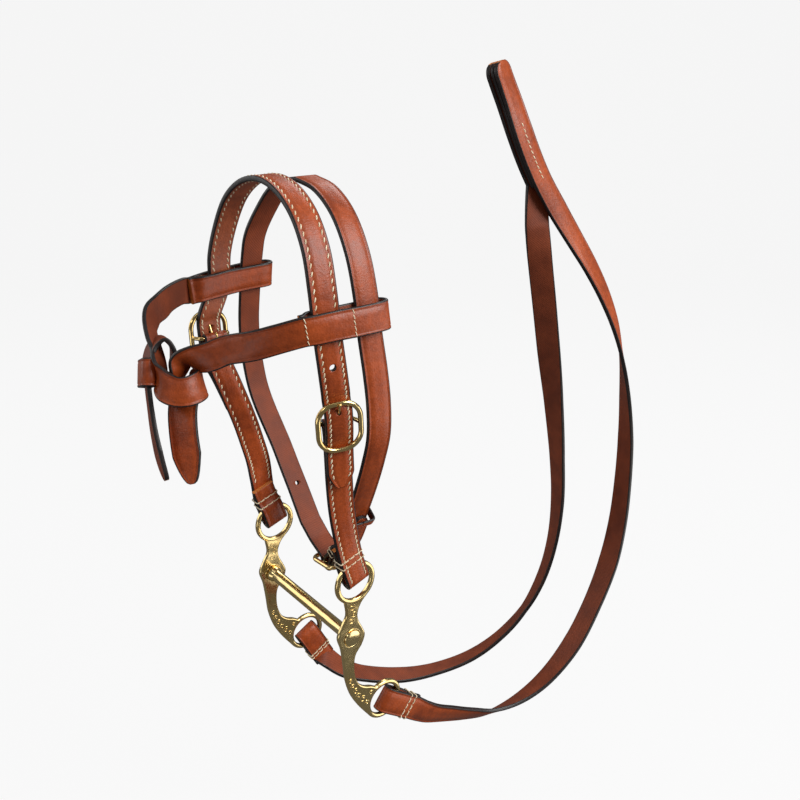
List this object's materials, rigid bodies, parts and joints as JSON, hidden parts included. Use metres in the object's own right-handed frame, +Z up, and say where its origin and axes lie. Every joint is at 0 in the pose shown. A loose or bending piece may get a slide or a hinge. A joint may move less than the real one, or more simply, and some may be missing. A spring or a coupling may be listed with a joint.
{
  "type": "miniature bridle with curb bit and reins",
  "caption": "Small leather bridle: buckled headpiece and cheeks, throatlatch, knotted browband, brass curb bit with eye and rein rings, and reins stitched together at the hand end.",
  "frame": {"origin": "underside of the headpiece at the top of its arch, in the middle, where it rests on the poll", "axes": "+Z up along the head, -Y towards the horse's forehead and nose, +X towards its left (near) side"},
  "size_m": [0.1145, 0.2928, 0.3849],
  "materials": {
    "leather": "smooth waxed tan leather with black painted edges",
    "leather_lining": "plain matt inner leather",
    "brass": "polished solid brass",
    "thread": "waxed cream linen thread"
  },
  "bodies": {
    "headstall": {"headpiece_outer": "leather", "headpiece_lining": "leather_lining", "near_cheekpiece": "leather", "far_cheekpiece": "leather", "throatlatch": "leather", "near_cheek_buckle_frame": "brass", "far_cheek_buckle_frame": "brass", "throat_buckle_frame": "brass", "near_cheek_thread_1": "thread", "far_cheek_thread_1": "thread", "near_cheek_thread_2": "thread", "far_cheek_thread_2": "thread", "throat_thread_1": "thread", "throat_thread_2": "thread"},
    "near_prong": {"near_cheek_buckle_prong": "brass"},
    "far_prong": {"far_cheek_buckle_prong": "brass"},
    "throat_prong": {"throat_buckle_prong": "brass"},
    "throat_keeper": {"throat_keeper": "leather"},
    "browband": {"browband_near": "leather", "browband_far": "leather"},
    "knot_keeper": {"knot_keeper": "leather"},
    "bit": {"near_bit_cheek": "brass", "far_bit_cheek": "brass", "bit_mouthpiece": "brass"},
    "reins": {"near_rein": "leather", "far_rein": "leather", "rein_middle_layer": "leather_lining", "near_rein_thread_1": "thread", "far_rein_thread_1": "thread", "near_rein_thread_2": "thread", "far_rein_thread_2": "thread"}
  },
  "joints": [
    {"name": "bit_swing", "type": "hinge", "parent": "headstall", "child": "bit", "pos_m": [0, 0.0145, -0.19495], "axis": [1, 0, 0], "range_deg": [-20, 20]},
    {"name": "rein_swing", "type": "hinge", "parent": "bit", "child": "reins", "pos_m": [0, 0.0315, -0.27745], "axis": [1, 0, 0], "range_deg": [-100, 8]},
    {"name": "browband_slide", "type": "slide", "parent": "headstall", "child": "browband", "axis": [0, 0, 1], "range_m": [-0.001, 0.001]},
    {"name": "knot_keeper_slide", "type": "slide", "parent": "browband", "child": "knot_keeper", "axis": [-0.337, 0.2042, 0.9191], "range_m": [-0.001, 0.001]},
    {"name": "throat_keeper_slide", "type": "slide", "parent": "headstall", "child": "throat_keeper", "axis": [0.5598, 0, 0.8286], "range_m": [-0.0015, 0.001]},
    {"name": "near_prong_tilt", "type": "hinge", "parent": "headstall", "child": "near_prong", "pos_m": [0.0425, 0.0032, -0.10245], "axis": [-0.3022, -0.9513, -0.0612], "range_deg": [-0.4, 0.4]},
    {"name": "far_prong_tilt", "type": "hinge", "parent": "headstall", "child": "far_prong", "pos_m": [-0.0448, -0.0097, -0.08135], "axis": [0.0786, -0.9966, 0.0239], "range_deg": [-0.4, 0.4]},
    {"name": "throat_prong_tilt", "type": "hinge", "parent": "headstall", "child": "throat_prong", "pos_m": [0.0056, 0.0255, -0.20125], "axis": [0, -1, 0], "range_deg": [-0.4, 0.4]}
  ]
}
